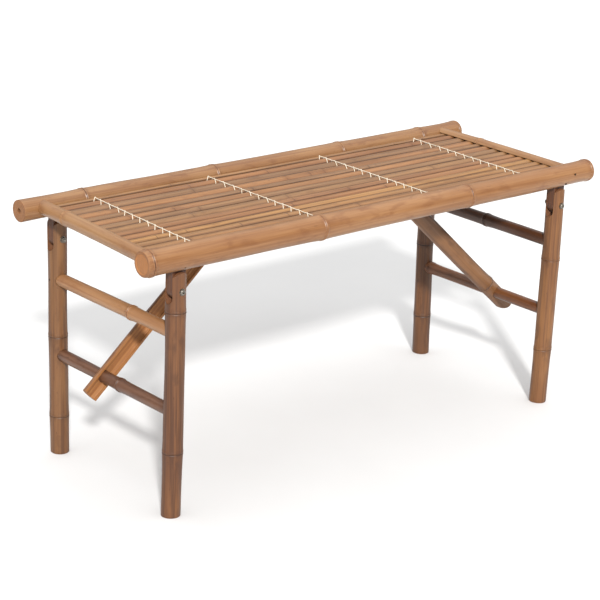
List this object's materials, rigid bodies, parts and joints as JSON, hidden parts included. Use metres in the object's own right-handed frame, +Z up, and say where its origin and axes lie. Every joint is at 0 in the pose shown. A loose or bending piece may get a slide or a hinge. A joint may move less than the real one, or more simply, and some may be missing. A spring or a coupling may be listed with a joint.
{
  "type": "folding picnic table",
  "caption": "Low folding bamboo table with a lashed slat top, hinged leg frames and hook-in split-culm braces.",
  "frame": {"origin": "on the ground under the middle of the top", "axes": "+X along the top, +Y across it, +Z up"},
  "size_m": [1.18, 0.4542, 0.5457],
  "materials": {
    "rail_bamboo": "satin, light tan skin over brown",
    "slat_bamboo": "satin, tan strips of varied tint",
    "bar_bamboo": "matte",
    "cord": "matte off-white twisted cord",
    "tongue_wood": "matte",
    "leg_bamboo": "satin, brown with darker streaks",
    "upper_rung_bamboo": "satin",
    "lower_rung_bamboo": "satin, dark brown",
    "brace_bamboo": "satin skin, matte sawn faces",
    "bolt_steel": "zinc plated",
    "nail_steel": "dull"
  },
  "bodies": {
    "table_top": {"long_rail_front": "rail_bamboo", "long_rail_back": "rail_bamboo", "end_rail_left": "rail_bamboo", "end_rail_right": "rail_bamboo", "slat_01": "slat_bamboo", "slat_02": "slat_bamboo", "slat_03": "slat_bamboo", "slat_04": "slat_bamboo", "slat_05": "slat_bamboo", "slat_06": "slat_bamboo", "slat_07": "slat_bamboo", "slat_08": "slat_bamboo", "slat_09": "slat_bamboo", "slat_10": "slat_bamboo", "slat_11": "slat_bamboo", "slat_12": "slat_bamboo", "slat_13": "slat_bamboo", "slat_14": "slat_bamboo", "cross_bar_1": "bar_bamboo", "cross_bar_2": "bar_bamboo", "cross_bar_3": "bar_bamboo", "cross_bar_4": "bar_bamboo", "lashing_cord_1": "cord", "lashing_cord_2": "cord", "lashing_cord_3": "cord", "lashing_cord_4": "cord", "catch_bar_left": "bar_bamboo", "catch_bar_right": "bar_bamboo", "hinge_tongue_front_left": "tongue_wood", "hinge_tongue_back_left": "tongue_wood", "hinge_tongue_front_right": "tongue_wood", "hinge_tongue_back_right": "tongue_wood", "corner_nails": "nail_steel", "tongue_nails": "nail_steel"},
    "leg_frame_left": {"leg_front_left": "leg_bamboo", "leg_back_left": "leg_bamboo", "upper_rung_left": "upper_rung_bamboo", "lower_rung_left": "lower_rung_bamboo", "pivot_bolt_front_left": "bolt_steel", "pivot_bolt_back_left": "bolt_steel", "pivot_nuts_left": "bolt_steel", "pivot_washers_left": "bolt_steel", "rung_nails_left": "nail_steel"},
    "leg_frame_right": {"leg_front_right": "leg_bamboo", "leg_back_right": "leg_bamboo", "upper_rung_right": "upper_rung_bamboo", "lower_rung_right": "lower_rung_bamboo", "pivot_bolt_front_right": "bolt_steel", "pivot_bolt_back_right": "bolt_steel", "pivot_nuts_right": "bolt_steel", "pivot_washers_right": "bolt_steel", "rung_nails_right": "nail_steel"},
    "brace_left": {"brace_left": "brace_bamboo"},
    "brace_right": {"brace_right": "brace_bamboo"}
  },
  "joints": [
    {"name": "leg_fold_left", "type": "hinge", "parent": "table_top", "child": "leg_frame_left", "pos_m": [-0.5066, 0, 0.455], "axis": [0, -1, 0], "range_deg": [0, 90]},
    {"name": "leg_fold_right", "type": "hinge", "parent": "table_top", "child": "leg_frame_right", "pos_m": [0.5066, 0, 0.455], "axis": [0, 1, 0], "range_deg": [0, 90]},
    {"name": "brace_fold_left", "type": "hinge", "parent": "leg_frame_left", "child": "brace_left", "pos_m": [-0.5066, 0, 0.212], "axis": [0, -1, 0], "range_deg": [-132, 0]},
    {"name": "brace_fold_right", "type": "hinge", "parent": "leg_frame_right", "child": "brace_right", "pos_m": [0.5066, 0, 0.212], "axis": [0, 1, 0], "range_deg": [-132, 0]}
  ],
  "couplings": [
    {"joint": "brace_fold_left", "follows": "leg_fold_left", "ratio": -1.4622},
    {"joint": "brace_fold_right", "follows": "leg_fold_right", "ratio": -1.4622}
  ]
}
